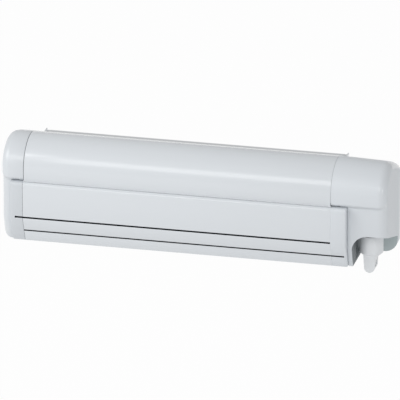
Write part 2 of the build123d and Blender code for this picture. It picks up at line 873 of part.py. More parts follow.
with BuildPart() as winch_eye:
    with BuildSketch(Plane(origin=worm_axis.origin, x_dir=(1, 0, 0), z_dir=(0, -1, 0))):
        Polygon(
            (0, bell_neck),
            (tongue_width / 2, bell_neck),
            (bell_radius, bell_bottom),
            (bell_radius, bell_top),
            (worm_shaft_radius, bell_top),
            (worm_shaft_radius, bell_top - bell_wall),
            (0, bell_top - bell_wall),
            align=None,
        )
    revolve(axis=Axis(worm_axis.origin, (0, 0, 1)))
    tongue_y = worm_axis.origin.Y - tongue_set_forward
    tongue_front = Plane(origin=(winch_x, tongue_y, level(0)), x_dir=(1, 0, 0), z_dir=(0, -1, 0))
    with BuildSketch(tongue_front.offset(-tongue_depth / 2)):
        with BuildLine():
            turn = tongue_tip_width / 2
            Polyline(
                (-turn, tongue_bottom + turn),
                (-tongue_width / 2, bell_bottom),
                (tongue_width / 2, bell_bottom),
                (turn, tongue_bottom + turn),
            )
            tip = (0, tongue_bottom)
            ThreePointArc((turn, tongue_bottom + turn), tip, (-turn, tongue_bottom + turn))
        make_face()
    extrude(amount=tongue_depth)
    with BuildSketch(section_at(winch_x)):
        with Locations((tongue_y, level(eye_hole_bottom + eye_hole_height / 2))):
            SlotOverall(eye_hole_height, eye_hole_width, rotation=90)
    extrude(amount=tongue_width, both=True, mode=Mode.SUBTRACT)
save(winch_eye, "winch_eye")

# Folding arms

rest_turn = math.atan2(arm_across, arm_along)
shoulder = (-shoulder_x, back_from(shoulder_depth))
elbow = (shoulder[0] + arm_along, shoulder[1] - arm_across)
wrist = (shoulder[0], shoulder[1] - 2 * arm_across)
ear_low = arm_bottom
ear_high = arm_bottom + arm_height - ear_thickness
tongue_low = arm_bottom + ear_thickness + gap
tongue_high = arm_bottom + arm_height - ear_thickness - gap


def arm_plane(pivot, turn, height):
    """A horizontal plane at a pivot, with its x along the arm."""
    return Plane(
        origin=(pivot[0], pivot[1], level(height)),
        x_dir=(math.cos(turn), math.sin(turn), 0),
        z_dir=(0, 0, 1),
    )


def strip_points(start, end, width):
    """The corners of a straight strip of a given width between two points."""
    run = Vector(*end) - Vector(*start)
    side = run.normalized().rotate(Axis.Z, 90) * (width / 2)
    first, last = Vector(*start), Vector(*end)
    return [(p.X, p.Y) for p in (first - side, last - side, last + side, first + side)]


def along(start, end, share):
    """A point at a share of the way from one point to another."""
    return (start[0] + (end[0] - start[0]) * share, start[1] + (end[1] - start[1]) * share)


tube_run = arm_length - 2 * arm_end_margin
tube_angle = math.atan2(elbow_offset - arm_inner_offset, tube_run)
plug_share = plug_reach / tube_run
# Each arm lies along its own plane's x, with its tube bowed to the side that the sign gives
arms = {
    "upper_arm": (shoulder, -rest_turn, 1, "shoulder_knuckle"),
    "forearm": (wrist, rest_turn, -1, "wrist_knuckle"),
}
for arm_name, (pivot, turn, bow, knuckle_name) in arms.items():
    inner_end = (arm_end_margin, bow * arm_inner_offset)
    outer_end = (arm_length - arm_end_margin, bow * elbow_offset)
    with BuildPart() as arm_tube:
        with BuildSketch(arm_plane(pivot, turn, arm_bottom)):
            Polygon(*strip_points(inner_end, outer_end, arm_width), align=None)
        extrude(amount=arm_height)
        with BuildSketch(arm_plane(pivot, turn, arm_bottom + arm_wall)):
            past_inner = along(inner_end, outer_end, -plug_share)
            past_outer = along(outer_end, inner_end, -plug_share)
            Polygon(*strip_points(past_inner, past_outer, arm_width - 2 * arm_wall), align=None)
        extrude(amount=arm_height - 2 * arm_wall, mode=Mode.SUBTRACT)
    save_pair(arm_tube, arm_name + "_tube")

    plug_width = arm_width - 2 * arm_wall - 2 * plug_clearance
    plug_low = arm_bottom + arm_wall + plug_clearance
    plug_height = arm_height - 2 * (arm_wall + plug_clearance)
    with BuildPart() as knuckle:
        with BuildSketch(arm_plane(pivot, turn, tongue_low)):
            Circle(knuckle_radius)
            Polygon(*strip_points((0, bow * arm_inner_offset), inner_end, neck_width), align=None)
        extrude(amount=tongue_high - tongue_low)
        with BuildSketch(arm_plane(pivot, turn, plug_low)):
            plug_end = along(inner_end, outer_end, plug_share)
            Polygon(*strip_points(inner_end, plug_end, plug_width), align=None)
        extrude(amount=plug_height)
        with BuildSketch(arm_plane(pivot, turn, tongue_low)):
            Circle(arm_pin_radius + pin_play)
        extrude(amount=tongue_high - tongue_low, mode=Mode.SUBTRACT)
    save_pair(knuckle, knuckle_name)

    is_fork = arm_name == "upper_arm"
    ears = ((ear_low, ear_thickness), (ear_high, ear_thickness))
    layers = ears if is_fork else ((tongue_low, tongue_high - tongue_low),)
    with BuildPart() as elbow_end:
        for low, height in layers:
            with BuildSketch(arm_plane(pivot, turn, low)):
                with Locations((arm_length, 0)):
                    Circle(knuckle_radius)
                neck_end = (outer_end[0] + neck_stop, outer_end[1])
                Polygon(
                    *strip_points((arm_length, bow * elbow_neck_offset), neck_end, elbow_neck_width),
                    align=None,
                )
            extrude(amount=height)
        with BuildSketch(arm_plane(pivot, turn, plug_low)):
            block_end = (arm_length - block_clearance, bow * elbow_offset)
            Polygon(*strip_points(outer_end, block_end, elbow_neck_width), align=None)
            plug_end = along(outer_end, inner_end, plug_share)
            Polygon(*strip_points(outer_end, plug_end, plug_width), align=None)
        extrude(amount=plug_height)
        with BuildSketch(arm_plane(pivot, turn, arm_bottom)):
            with Locations((arm_length, 0)):
                Circle(arm_pin_radius if is_fork else arm_pin_radius + pin_play)
        extrude(amount=arm_height, mode=Mode.SUBTRACT)
    save_pair(elbow_end, "elbow_fork" if is_fork else "elbow_tongue")

for pin_name, pivot in (("shoulder_pin", shoulder), ("elbow_pin", elbow), ("wrist_pin", wrist)):
    with BuildPart() as pin:
        with BuildSketch(arm_plane(pivot, 0, arm_bottom)):
            Circle(arm_pin_radius)
        extrude(amount=arm_height)
        with BuildSketch(arm_plane(pivot, 0, arm_bottom + arm_height)):
            Circle(pin_head_radius)
        extrude(amount=pin_head_height)
    save_pair(pin, pin_name)

# Brackets that hold the arms


def bracket_ears(pivot, to_y):
    """Sketch of one ear: round about the pin and square out to its plate."""
    Circle(knuckle_radius)
    side = Align.MIN if to_y > pivot[1] else Align.MAX
    Rectangle(2 * knuckle_radius, abs(to_y - pivot[1]), align=(Align.CENTER, side))


shoulder_wall = back_from(back_depth - case_wall)
wrist_wall = back_from(bar_depth)
with BuildPart() as shoulder_bracket:
    for low in (ear_low, ear_high):
        with BuildSketch(arm_plane(shoulder, 0, low)):
            bracket_ears(shoulder, shoulder_wall)
        extrude(amount=ear_thickness)
    with BuildSketch(Plane.XZ.offset(-shoulder_wall)):
        with Locations((shoulder[0], level(arm_bottom - shoulder_plate_rise))):
            plate_height = arm_height + 2 * shoulder_plate_rise
            Rectangle(2 * shoulder_plate_half, plate_height, align=(Align.CENTER, Align.MIN))
    extrude(amount=shoulder_plate)
    with BuildSketch(arm_plane(shoulder, 0, ear_low)):
        Circle(arm_pin_radius)
    extrude(amount=arm_height, mode=Mode.SUBTRACT)
save_pair(shoulder_bracket, "shoulder_bracket")

with BuildPart() as wrist_bracket:
    for low in (ear_low, ear_high):
        with BuildSketch(arm_plane(wrist, 0, low)):
            bracket_ears(wrist, wrist_wall)
        extrude(amount=ear_thickness)
    with BuildSketch(Plane.XZ.offset(-wrist_wall)):
        with Locations((wrist[0], level(arm_bottom))):
            plate_height = arm_height + shoulder_plate_rise
            Rectangle(2 * knuckle_radius, plate_height, align=(Align.CENTER, Align.MIN))
    extrude(amount=-wrist_plate)
    with BuildSketch(arm_plane(wrist, 0, ear_low)):
        Circle(arm_pin_radius)
    extrude(amount=arm_height, mode=Mode.SUBTRACT)
save_pair(wrist_bracket, "wrist_bracket")

# Support legs, stowed in the lead bar's channel

leg_pivot_x = -half + leg_hinge_inset
leg_mid_depth = leg_front + leg_width / 2
leg_plane = Plane(
    origin=(leg_pivot_x, back_from(leg_mid_depth), level(leg_height)), x_dir=(0, 1, 0), z_dir=(1, 0, 0)
)
leg_side = Plane(
    origin=(leg_pivot_x, back_from(leg_front), level(leg_height)), x_dir=(1, 0, 0), z_dir=(0, -1, 0)
)
leg_inner_width = leg_width - 2 * (leg_wall + inner_gap)
leg_inner_rise = leg_rise - 2 * (leg_wall + inner_gap)

with BuildPart() as leg_tube:
    with BuildSketch(leg_plane):
        Rectangle(leg_width, leg_rise)
    extrude(amount=leg_length)
    with BuildSketch(leg_side):
        Circle(leg_rise / 2)
    extrude(amount=-leg_width)
    with BuildSketch(leg_plane.offset(leg_rise)):
        Rectangle(leg_width - 2 * leg_wall, leg_rise - 2 * leg_wall)
    extrude(amount=leg_length, mode=Mode.SUBTRACT)
    with BuildSketch(leg_side):
        Circle(leg_pin_radius + pin_play)
    extrude(amount=-leg_width, mode=Mode.SUBTRACT)
save_pair(leg_tube, "leg_tube")

with BuildPart() as leg_inner:
    with BuildSketch(leg_plane.offset(leg_length - inner_length + gap)):
        Rectangle(leg_inner_width, leg_inner_rise)
    extrude(amount=inner_length)
save_pair(leg_inner, "leg_inner")

with BuildPart() as leg_foot:
    with BuildSketch(leg_plane.offset(leg_length + gap)):
        Rectangle(leg_width, leg_rise)
    extrude(amount=foot_length)
    chamfer(leg_foot.faces().sort_by(Axis.X)[-1].edges(), length=foot_flange)
    with BuildSketch(leg_plane.offset(leg_length + gap)):
        Rectangle(leg_inner_width, leg_inner_rise)
    extrude(amount=foot_length / 2, mode=Mode.SUBTRACT)
save_pair(leg_foot, "leg_foot")

with BuildPart() as leg_hinge:
    lug_drop = leg_rise / 2 + gap
    for front in (leg_front - leg_lug - gap, leg_front + leg_width + gap):
        with BuildSketch(leg_side.offset(leg_front - front)):
            Circle(leg_lug_half)
            Rectangle(2 * leg_lug_half, bar_shelf - bar_web - leg_height, align=(Align.CENTER, Align.MIN))
        extrude(amount=-leg_lug)
    with BuildSketch(leg_side.offset(leg_lug + gap)):
        Circle(leg_pin_radius)
    extrude(amount=-(leg_width + 2 * leg_lug + 2 * gap))
save_pair(leg_hinge, "leg_hinge")

# Fabric between the roller and the lead bar

lip_end = bar_depth + keder_reach + keder_boss_radius + gap
fabric_end = at(lip_end, keder_height)
fabric_end_low = at(lip_end, keder_height - fabric_thickness)
reach_y = fabric_end[0] - roller_axis.origin.Y
reach_z = fabric_end[1] - roller_axis.origin.Z
lift_radius = fabric_roll_radius + gap
tangent_turn = math.atan2(reach_z, reach_y) + math.acos(lift_radius / math.hypot(reach_y, reach_z))
fabric_start, fabric_start_low = (
    (
        roller_axis.origin.Y + radius * math.cos(tangent_turn),
        roller_axis.origin.Z + radius * math.sin(tangent_turn),
    )
    for radius in (lift_radius, lift_radius + fabric_thickness)
)

with BuildPart() as canopy_fabric:
    with BuildSketch(section_at(-keder_length / 2)):
        with BuildLine():
            Polyline(fabric_start, fabric_end, fabric_end_low, fabric_start_low, close=True)
        make_face()
    extrude(amount=keder_length)
save(canopy_fabric, "canopy_fabric")

# Rubber seals at the case's mouth

with BuildPart() as mouth_seal:
    with BuildSketch(section_at(-half)):
        with Locations(at(strip_depth + gap, lip_height)):
            Rectangle(seal_width, seal_drop, align=(Align.MIN, Align.MAX))
    extrude(amount=case_length)
save(mouth_seal, "mouth_seal")

with BuildPart() as floor_seal:
    with BuildSketch(section_at(-half)):
        with Locations(at(floor_front + case_wall, case_wall)):
            Rectangle(seal_width, seal_height / 2, align=(Align.MIN, Align.MIN))
    extrude(amount=case_length)
save(floor_seal, "floor_seal")

# Tension springs inside the upper arms

inner_end = (arm_end_margin, arm_inner_offset)
outer_end = (arm_length - arm_end_margin, elbow_offset)
spring_start = along(inner_end, outer_end, spring_start_share)
spring_stop = along(inner_end, outer_end, spring_end_share)
spring_length = tube_run * (spring_end_share - spring_start_share) / math.cos(tube_angle)
spring_plane = arm_plane(shoulder, -rest_turn, arm_bottom + arm_height / 2)
spring_foot = spring_plane.from_local_coords(spring_start)
spring_aim = spring_plane.from_local_coords(spring_stop) - spring_foot
with BuildPart() as arm_spring:
    with BuildSketch(Plane(origin=spring_foot, z_dir=spring_aim)):
        Circle(spring_radius)
        Circle(spring_radius - spring_wire, mode=Mode.SUBTRACT)
    extrude(amount=spring_length)
save_pair(arm_spring, "arm_spring")
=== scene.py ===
import json
import math

import bpy
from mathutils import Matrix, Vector

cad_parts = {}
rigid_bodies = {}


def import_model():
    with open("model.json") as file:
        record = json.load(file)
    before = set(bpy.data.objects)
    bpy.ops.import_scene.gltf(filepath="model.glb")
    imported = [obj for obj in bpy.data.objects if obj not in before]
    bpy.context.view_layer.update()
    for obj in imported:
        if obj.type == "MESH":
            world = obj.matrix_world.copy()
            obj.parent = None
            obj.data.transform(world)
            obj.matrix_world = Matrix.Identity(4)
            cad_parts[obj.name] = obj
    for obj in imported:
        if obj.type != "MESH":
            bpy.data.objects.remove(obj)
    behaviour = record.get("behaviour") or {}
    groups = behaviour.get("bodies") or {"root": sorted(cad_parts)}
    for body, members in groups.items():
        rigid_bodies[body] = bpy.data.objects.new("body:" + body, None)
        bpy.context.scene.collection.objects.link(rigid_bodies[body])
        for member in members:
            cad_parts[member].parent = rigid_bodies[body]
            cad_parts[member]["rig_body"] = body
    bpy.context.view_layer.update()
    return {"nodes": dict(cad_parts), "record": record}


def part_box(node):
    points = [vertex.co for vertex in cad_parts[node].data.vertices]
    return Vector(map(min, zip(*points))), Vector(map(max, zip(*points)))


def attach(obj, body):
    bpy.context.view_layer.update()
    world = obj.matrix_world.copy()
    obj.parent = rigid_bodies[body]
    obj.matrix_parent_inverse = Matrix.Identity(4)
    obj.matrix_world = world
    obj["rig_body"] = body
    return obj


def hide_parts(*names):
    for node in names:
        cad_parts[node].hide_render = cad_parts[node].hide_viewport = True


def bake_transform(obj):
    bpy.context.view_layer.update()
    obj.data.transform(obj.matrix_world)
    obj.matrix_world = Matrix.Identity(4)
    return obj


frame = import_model()
nodes = frame["nodes"]
record = frame["record"]
scene = bpy.context.scene

MM = 0.001

# Camera: turned towards the winch end and raised, from far off
CAMERA_AZIMUTH = math.radians(13.0)
CAMERA_ELEVATION = math.radians(21.2)
CAMERA_TARGET = Vector((0.0163, -0.0565, -0.0102))
CAMERA_DISTANCE = 12.0
CAMERA_REACH = 60.0
FRAME_WIDTH = 0.473
SENSOR_WIDTH = 36.0

# Stage: pale floor, white sky, and each light's name, place, width, height and power
FLOOR_LEVEL = -0.95
FLOOR_SIZE = 30.0
FLOOR_GLOW = 0.14
FLOOR_GLOW_SEEN = 0.82
SKY_STRENGTH = 0.55
LIGHTS = (
    ("window_light", (-0.1, -2.27, 1.53), 3.2, 0.9, 22.0),
    ("side_light", (-3.7, -1.8, 2.3), 2.5, 2.5, 72.0),
    ("glint_light", (2.4, -1.6, 0.4), 0.12, 1.1, 8.0),
)

# Meshes: merging of the CAD facets, rounds on the edges, smooth shading
MERGE_GAP = 0.000002
FLAT_ANGLE = math.radians(0.4)
CORNER_ANGLE = math.radians(32.0)
EDGE_SEGMENTS = 2
SMOOTH_ANGLE = math.radians(28.0)
CLOTH_SMOOTH_ANGLE = math.radians(40.0)

# Width of the eased edge of each shell and casting, in mm
SHELL_EDGES = {
    "case_profile": 0.3,
    "left_end_cap": 0.4,
    "right_end_cap": 0.4,
    "lead_bar_profile": 0.3,
    "left_bar_cap": 0.7,
    "right_bar_cap": 0.7,
    "winch_eye": 0.6,
    "left_rail_end": 0.4,
    "right_rail_end": 0.4,
}
ARM_AND_LEG_EDGE = 0.4
ARM_AND_LEG_PIECES = (
    "shoulder_bracket",
    "shoulder_knuckle",
    "elbow_fork",
    "elbow_tongue",
    "wrist_knuckle",
    "wrist_bracket",
    "upper_arm_tube",
    "forearm_tube",
    "leg_tube",
    "leg_foot",
    "leg_hinge",
)

# Paint: orange peel, and smears that vary its roughness
PEEL_SCALE = 420.0
PEEL_DEPTH = 0.00004
SMEAR_SCALE = 60.0
SMEAR_SPREAD = 0.05

# Moulded plastic: fine grain, and the caps' gloss from one distance off their ends to the next
GRAIN_SCALE = 1500.0
GRAIN_DEPTH = 0.00003
CAP_GRAIN = 0.1
CAP_GLOSS = 0.8
GLOSS_STARTS = 12 * MM
GLOSS_FULL = 8 * MM
GLOSS_FADES = 1 * MM
GLOSS_GONE = 0.3 * MM

# Metal: drawn lines that also vary its roughness
LINE_SCALE = 900.0
LINE_DEPTH = 0.00003
LINE_STRENGTH = 0.3
LINE_SPREAD = 0.2
LENGTHWISE = (0.02, 1, 1)
UPRIGHT = (1, 1, 0.05)
ALL_WAYS = (1, 1, 1)

# Cloth: threads, and the shares of mottle and threads in its tone
THREAD_SCALE = 320.0
THREAD_DEPTH = 0.00015
THREAD_STRENGTH = 0.6
THREAD_TONE = 0.25
MOTTLE_SCALE = 35.0
MOTTLE_TONE = 0.5
LEAST_TONE = 0.1
DARK_THREAD = 0.86
FABRIC_THICKNESS = 0.6 * MM
CLOTH_COLUMNS = 40
CLOTH_ROWS = 12
FRONT_EDGE = 0.5 * MM

# Colours shared by several finishes
WHITE = (1.0, 1.0, 1.0, 1.0)
WHITE_PAINT = (0.665, 0.695, 0.725)
BELL_WHITE = (0.7, 0.72, 0.74)


# Helpers for modelling


def only(piece):
    """Select one piece alone and make it active."""
    bpy.ops.object.select_all(action="DESELECT")
    piece.select_set(True)
    bpy.context.view_layer.objects.active = piece


def smooth_by_angle(piece, angle):
    """Shade the piece smooth, but keep its edges sharper than an angle."""
    only(piece)
    bpy.ops.object.shade_smooth_by_angle(angle=angle)


def apply_modifiers(piece):
    """Apply every modifier of a piece, in order."""
    only(piece)
    for modifier in list(piece.modifiers):
        bpy.ops.object.modifier_apply(modifier=modifier.name)


def settle(piece):
    """Put the piece's place and turn into its mesh."""
    only(piece)
    bpy.ops.object.transform_apply(location=True, rotation=True, scale=True)


def refinish(piece, finish):
    """Give a whole piece one finish."""
    piece.data.materials.clear()
    piece.data.materials.append(finish)


def eased_copy(node, edge):
    """A merged copy of a CAD node with its sharp edges eased by a small round."""
    piece = nodes[node].copy()
    piece.data = nodes[node].data.copy()
    piece.name = node + "_eased"
    piece.parent = None
    for key in list(piece.keys()):
        del piece[key]
    scene.collection.objects.link(piece)
    only(piece)
    bpy.ops.object.mode_set(mode="EDIT")
    bpy.ops.mesh.select_all(action="SELECT")
    bpy.ops.mesh.customdata_custom_splitnormals_clear()
    bpy.ops.mesh.remove_doubles(threshold=MERGE_GAP)
    bpy.ops.mesh.dissolve_limited(angle_limit=FLAT_ANGLE)
    bpy.ops.object.mode_set(mode="OBJECT")
    bevel = piece.modifiers.new("ease", "BEVEL")
    bevel.width = edge
    bevel.segments = EDGE_SEGMENTS
    bevel.limit_method = "ANGLE"
    bevel.angle_limit = CORNER_ANGLE
    bevel.miter_outer = "MITER_ARC"
    apply_modifiers(piece)
    smooth_by_angle(piece, SMOOTH_ANGLE)
    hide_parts(node)
    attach(piece, nodes[node]["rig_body"])
    refinish(piece, materials[slot_of[node]])
    return piece


def repaint(piece, finish, chosen, tallest=1.0):
    """Give the chosen faces of a piece, up to a height in Z, another finish."""
    piece.data.materials.append(finish)
    index = len(piece.data.materials) - 1
    for face in piece.data.polygons:
        levels = [piece.data.vertices[corner].co.z for corner in face.vertices]
        if max(levels) - min(levels) < tallest and chosen(face.center, face.normal):
            face.material_index = index


# Helpers for materials


class Socket:
    """Shader maths written as expressions on node sockets."""

    def __init__(self, finish, output):
        self.finish = finish
        self.output = output

    def _with(self, operation, other, swapped=False):
        first, second = (other, self) if swapped else (self, other)
        values = {0: first, 1: second}
        return self.finish.node("ShaderNodeMath", {"operation": operation}, values)

    def __add__(self, other):
        return self._with("ADD", other)

    def __radd__(self, other):
        return self._with("ADD", other, True)

    def __sub__(self, other):
        return self._with("SUBTRACT", other)

    def __rsub__(self, other):
        return self._with("SUBTRACT", other, True)

    def __mul__(self, other):
        return self._with("MULTIPLY", other)

    def __rmul__(self, other):
        return self._with("MULTIPLY", other, True)

    def __abs__(self):
        return self._with("ABSOLUTE", 0.0)


class Finish:
    """A material under construction, with one method that adds any node."""

    def __init__(self, name, **shader_values):
        self.material = bpy.data.materials.new(name)
        self.material.use_nodes = True
        self.tree = self.material.node_tree
        self.shader = self.tree.nodes["Principled BSDF"]
        for socket, value in shader_values.items():
            self.shader.inputs[socket.replace("_", " ")].default_value = value

    def node(self, kind, settings=None, values=None, output=0):
        """Add a node, set it, fill its sockets with values or links, and give its output."""
        made = self.tree.nodes.new(kind)
        for key, value in (settings or {}).items():
            setattr(made, key, value)
        for key, value in (values or {}).items():
            if isinstance(value, Socket):
                self.tree.links.new(value.output, made.inputs[key])
            else:
                made.inputs[key].default_value = value
        return Socket(self, made.outputs[output])

    def place(self, scale=ALL_WAYS):
        """Object coordinates, scaled."""
        here = self.node("ShaderNodeTexCoord", output="Object")
        return self.node("ShaderNodeMapping", {}, {"Vector": here, "Scale": scale})

    def noise(self, scale, stretch=ALL_WAYS, detail=2.0):
        """Fine noise over the surface, from 0 to 1."""
        values = {"Vector": self.place(stretch), "Scale": scale, "Detail": detail}
        return self.node("ShaderNodeTexNoise", {}, values)

    def threads(self, direction):
        """Parallel threads across one axis, from 0 to 1."""
        kind = {"wave_type": "BANDS", "wave_profile": "SIN", "bands_direction": direction}
        values = {"Vector": self.place(), "Scale": THREAD_SCALE}
        return self.node("ShaderNodeTexWave", kind, values, 1)

    def ramp(self, source, start, end, top=1.0):
        """A value that climbs from 0 to top while its source goes from start to end."""
        return self.node("ShaderNodeMapRange", {}, {0: source, 1: start, 2: end, 3: 0.0, 4: top})

    def mix(self, share, first, second):
        """A colour between two others."""
        values = {0: share, 6: rgb(*first), 7: rgb(*second)}
        return self.node("ShaderNodeMix", {"data_type": "RGBA"}, values, 2)

    def raised(self, height, distance, strength):
        """Lead a height into the shader's normal."""
        values = {"Height": height, "Distance": distance, "Strength": strength}
        self.into("Normal", self.node("ShaderNodeBump", {}, values))

    def into(self, socket, source):
        """Lead a value into one of the shader's sockets."""
        self.tree.links.new(source.output, self.shader.inputs[socket])


def rgb(red, green, blue):
    """An opaque colour."""
    return (red, green, blue, 1.0)


def paint(name, colour, roughness, peel):
    """Powder coat: even colour, faint orange peel, a little gloss."""
    finish = Finish(
        name, Base_Color=rgb(*colour), Roughness=roughness, Coat_Weight=0.35, Coat_Roughness=0.1
    )
    finish.raised(finish.noise(PEEL_SCALE), PEEL_DEPTH, peel)
    smear = finish.noise(SMEAR_SCALE) * SMEAR_SPREAD
    finish.into("Roughness", smear + (roughness - SMEAR_SPREAD / 2))
    return finish.material


def moulded(name, colour, roughness, grain, gloss=0.5):
    """Moulded plastic: even colour with a fine grain."""
    finish = Finish(
        name, Base_Color=rgb(*colour), Roughness=roughness, Specular_IOR_Level=gloss
    )
    finish.raised(finish.noise(GRAIN_SCALE, detail=1.0), GRAIN_DEPTH, grain)
    return finish.material


def metal(name, colour, stretch, roughness):
    """Drawn or machined metal with fine lines along one axis."""
    finish = Finish(name, Base_Color=rgb(*colour), Metallic=1.0, Roughness=roughness)
    lines = finish.noise(LINE_SCALE, stretch, detail=3.0)
    finish.into("Roughness", lines * LINE_SPREAD + (roughness - LINE_SPREAD / 2))
    finish.raised(lines, LINE_DEPTH, LINE_STRENGTH)
    return finish.material


def cloth(name, colour):
    """Coated woven cloth: fine threads both ways over a faint mottled colour."""
    finish = Finish(name, Roughness=0.82, Sheen_Weight=0.15)
    weave = finish.threads("X") * finish.threads("Y")
    tone = finish.noise(MOTTLE_SCALE) * MOTTLE_TONE + weave * THREAD_TONE + LEAST_TONE
    dark = [DARK_THREAD * value for value in colour]
    finish.into("Base Color", finish.mix(tone, colour, dark))
    finish.raised(weave, THREAD_DEPTH, THREAD_STRENGTH)
    return finish.material


def cap_finish(name, colour, middle, half):
    """Moulded end cap: matt on its flat faces, glossy around its outer corners."""
    finish = Finish(
        name,
        Base_Color=rgb(*colour),
        Roughness=0.4,
        Specular_IOR_Level=0.3,
        Coat_Roughness=0.07,
    )
    finish.raised(finish.noise(GRAIN_SCALE, detail=1.0), GRAIN_DEPTH, CAP_GRAIN)
    along = finish.node("ShaderNodeSeparateXYZ", {}, {0: finish.place()})
    out = abs(along - middle)
    corner = finish.ramp(out, half - GLOSS_STARTS, half - GLOSS_FULL, CAP_GLOSS)
    flat_end = finish.ramp(out, half - GLOSS_FADES, half - GLOSS_GONE, CAP_GLOSS)
    finish.into("Coat Weight", corner - flat_end)
    return finish.material


def painted_shade_above(name, colour, dark, start, end, roughness):
    """Plastic with painted shade between two levels, where it stands up inside a cut-out under
    an arch.
    """
    finish = Finish(name, Roughness=roughness)
    up = finish.node("ShaderNodeSeparateXYZ", {}, {0: finish.place()}, 2)
    finish.into("Base Color", finish.mix(finish.ramp(up, start, end), colour, dark))
    return finish.material


# One material for each slot, and a few for single faces or pieces

left_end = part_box("left_end_cap")[0][0]
right_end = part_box("right_end_cap")[1][0]
materials = {
    "case_paint": paint("case_paint", WHITE_PAINT, roughness=0.24, peel=0.12),
    "lead_bar_paint": paint("lead_bar_paint", WHITE_PAINT, roughness=0.24, peel=0.12),
    "arm_paint": paint("arm_paint", (0.62, 0.64, 0.66), roughness=0.4, peel=0.3),
    "arm_casting": paint("arm_casting", (0.45, 0.47, 0.49), roughness=0.5, peel=0.8),
    "cap_plastic": cap_finish(
        "cap_plastic",
        (0.63, 0.66, 0.69),
        middle=(left_end + right_end) / 2,
        half=(right_end - left_end) / 2,
    ),
    "eye_plastic": moulded("eye_plastic", BELL_WHITE, roughness=0.3, grain=0.1),
    "bead_plastic": moulded("bead_plastic", (0.5, 0.52, 0.54), roughness=0.5, grain=0.2),
    "grey_plastic": moulded("grey_plastic", (0.25, 0.26, 0.27), roughness=0.5, grain=0.3),
    # Painted light: the seal in the gap under the case lip is lighter than the paint, so that
    # gap reads pale instead of shaded
    "pale_seal": moulded("pale_seal", (0.78, 0.8, 0.82), roughness=0.6, grain=0.3),
    "black_rubber": moulded(
        "black_rubber", (0.008, 0.009, 0.011), roughness=0.7, grain=0.3, gloss=0.1
    ),
    "rail_aluminium": metal("rail_aluminium", (0.86, 0.88, 0.9), LENGTHWISE, roughness=0.42),
    "bare_aluminium": metal("bare_aluminium", (0.6, 0.61, 0.62), LENGTHWISE, roughness=0.38),
    "steel": metal("steel", (0.55, 0.55, 0.55), UPRIGHT, roughness=0.3),
    "bronze": metal("bronze", (0.55, 0.38, 0.17), ALL_WAYS, roughness=0.35),
    "awning_fabric": cloth("awning_fabric", (0.52, 0.55, 0.58)),
}
# Painted shade for the walls deep in the winch cut-out, in two tones
dark_inside = moulded("dark_inside", (0.46, 0.49, 0.5), roughness=0.6, grain=0.3)
dark_wall = moulded("dark_wall", (0.2, 0.22, 0.23), roughness=0.6, grain=0.3)
# A copy of the cap plastic for the left end cap: glossier, and lighter in colour as painted
# light
left_cap_gloss = paint("left_cap_gloss", (0.66, 0.69, 0.72), roughness=0.34, peel=0.1)
# Dark joint tone for the left gasket, also used as painted shade on the edges at the left seam
left_gasket = moulded("left_gasket", (0.1, 0.11, 0.12), roughness=0.6, grain=0.3)
# Painted light: the right gasket is a paler copy of the same seal, so its seam reads faint
right_gasket = moulded("right_gasket", (0.52, 0.55, 0.57), roughness=0.6, grain=0.3)
# Painted shade for the wall beside the winch bell, behind the cut-out
shaded_wall = moulded("shaded_wall", (0.42, 0.48, 0.49), roughness=0.5, grain=0.3)

slot_of = {part["node"]: part["material_slot"] for part in record["subparts"]}
for name, node in nodes.items():
    refinish(node, materials[slot_of[name]])

# Shells and castings with eased edges

eased = {name: eased_copy(name, edge * MM) for name, edge in SHELL_EDGES.items()}
for side in ("left_", "right_"):
    for name in ARM_AND_LEG_PIECES:
        eased_copy(side + name, ARM_AND_LEG_EDGE * MM)
# The two gaskets are one seal in two tones: the left dark, the right paler as painted light
refinish(nodes["left_cap_gasket"], left_gasket)
refinish(nodes["right_cap_gasket"], right_gasket)
# The left end cap gets the glossier copy, lighter in colour as painted light
refinish(eased["left_end_cap"], left_cap_gloss)

# The cut-out for the winch bell in the right end cap: its depth is painted with shade

FRONT_SKIN = 8 * MM
REAR_SKIN = 4 * MM
HOLLOW_LEFT_OF_BELL = 12 * MM
HOLLOW_RIGHT_OF_BELL = 1 * MM
HOLLOW_OVER_BELL = 2 * MM
UNDERSIDE_TILT = -0.7
FORWARD_TILT = -0.3
BELLWARD_TILT = 0.4
CEILING_TILT = -0.9
bell_low, bell_high = (Vector(corner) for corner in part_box("winch_eye"))
cap_low, cap_high = (Vector(corner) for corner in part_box("right_end_cap"))
end_cap = eased["right_end_cap"]


def is_deep(centre):
    """Between the cap's front skin and its rear skin."""
    return cap_low.y + FRONT_SKIN < centre.y < cap_high.y - REAR_SKIN


def in_hollow(centre, normal):
    """Walls of the cut-out and of the hollow behind it, but not the cap's underside."""
    left, right = bell_low.x - HOLLOW_LEFT_OF_BELL, bell_high.x + HOLLOW_RIGHT_OF_BELL
    inside = left < centre.x < right and centre.z < bell_high.z + HOLLOW_OVER_BELL
    return inside and is_deep(centre) and normal.z > UNDERSIDE_TILT


def beside_bell(centre, normal):
    """Wall behind the cut-out that faces forwards, on the bell's outer side."""
    outside = centre.x > bell_high.x and centre.z < bell_high.z
    return outside and is_deep(centre) and normal.y < FORWARD_TILT


def arch_side(centre, normal):
    """Side wall of the cut-out that faces the bell, left of it."""
    beside = in_hollow(centre, normal) and centre.x < bell_low.x
    return beside and normal.x > BELLWARD_TILT


def is_ceiling(centre, normal):
    """Top of the cut-out, over the bell."""
    over = bell_low.x < centre.x < bell_high.x and centre.z < bell_high.z
    return over and normal.z < CEILING_TILT


# Painted shade: the walls deep in the cut-out, the wall beside the bell and the side wall left
# of it get darker colours
repaint(end_cap, dark_inside, in_hollow)
repaint(end_cap, shaded_wall, beside_bell)
repaint(end_cap, dark_wall, arch_side)

# The bell gets painted shade from where the camera sees the arch's front edge cross it: a
# painted shadow line under the arch

